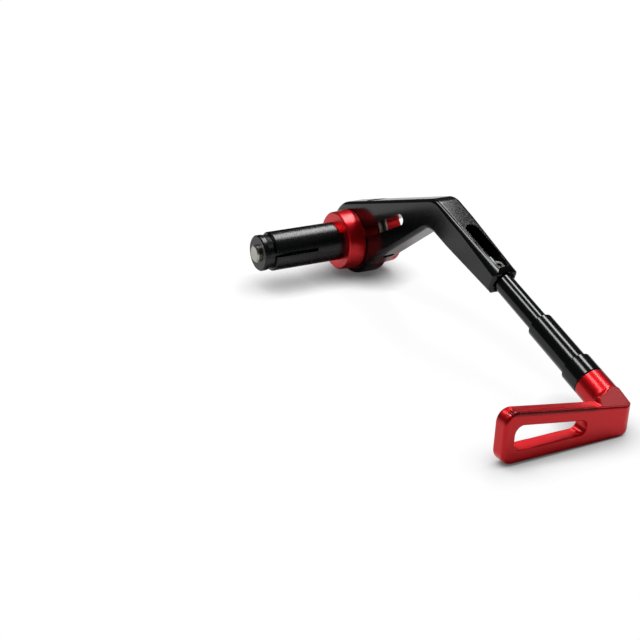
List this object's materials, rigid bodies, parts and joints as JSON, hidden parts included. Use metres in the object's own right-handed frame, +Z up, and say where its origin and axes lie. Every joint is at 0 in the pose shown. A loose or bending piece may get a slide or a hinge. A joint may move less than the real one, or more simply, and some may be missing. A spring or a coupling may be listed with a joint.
{
  "type": "brake lever guard",
  "caption": "Handlebar-end lever guard: expanding plug, clamped cranked arm, sliding rod and a windowed blade that shields the lever's tip.",
  "frame": {"origin": "on the handlebar's axis, in the plane of the inner ring's face that the handlebar's end meets", "axes": "+X along the handlebar towards its middle, +Y forward along the arm, +Z up"},
  "size_m": [0.072, 0.2009, 0.056],
  "materials": {
    "red_anodised": "satin red anodised",
    "black_anodised": "gloss black anodised",
    "zinc_steel": "bright zinc"
  },
  "bodies": {
    "plug": {"outer_hub": "red_anodised", "bar_ring": "red_anodised", "expander_sleeve": "black_anodised", "wedge_nut": "black_anodised", "clamp_bolt": "zinc_steel", "bolt_washer": "zinc_steel"},
    "arm": {"arm": "black_anodised", "pinch_bolt": "zinc_steel"},
    "rod": {"slide_rod": "black_anodised", "rod_screw": "zinc_steel", "lock_collar": "black_anodised", "tip_stud": "zinc_steel", "tip": "red_anodised"}
  },
  "joints": [
    {"name": "arm_swing", "type": "hinge", "parent": "plug", "child": "arm", "pos_m": [-0.0146, 0, 0], "axis": [1, 0, 0], "continuous": true},
    {"name": "rod_slide", "type": "slide", "parent": "arm", "child": "rod", "axis": [0, 0.9466, -0.3223], "range_m": [-0.0216, 0]}
  ]
}
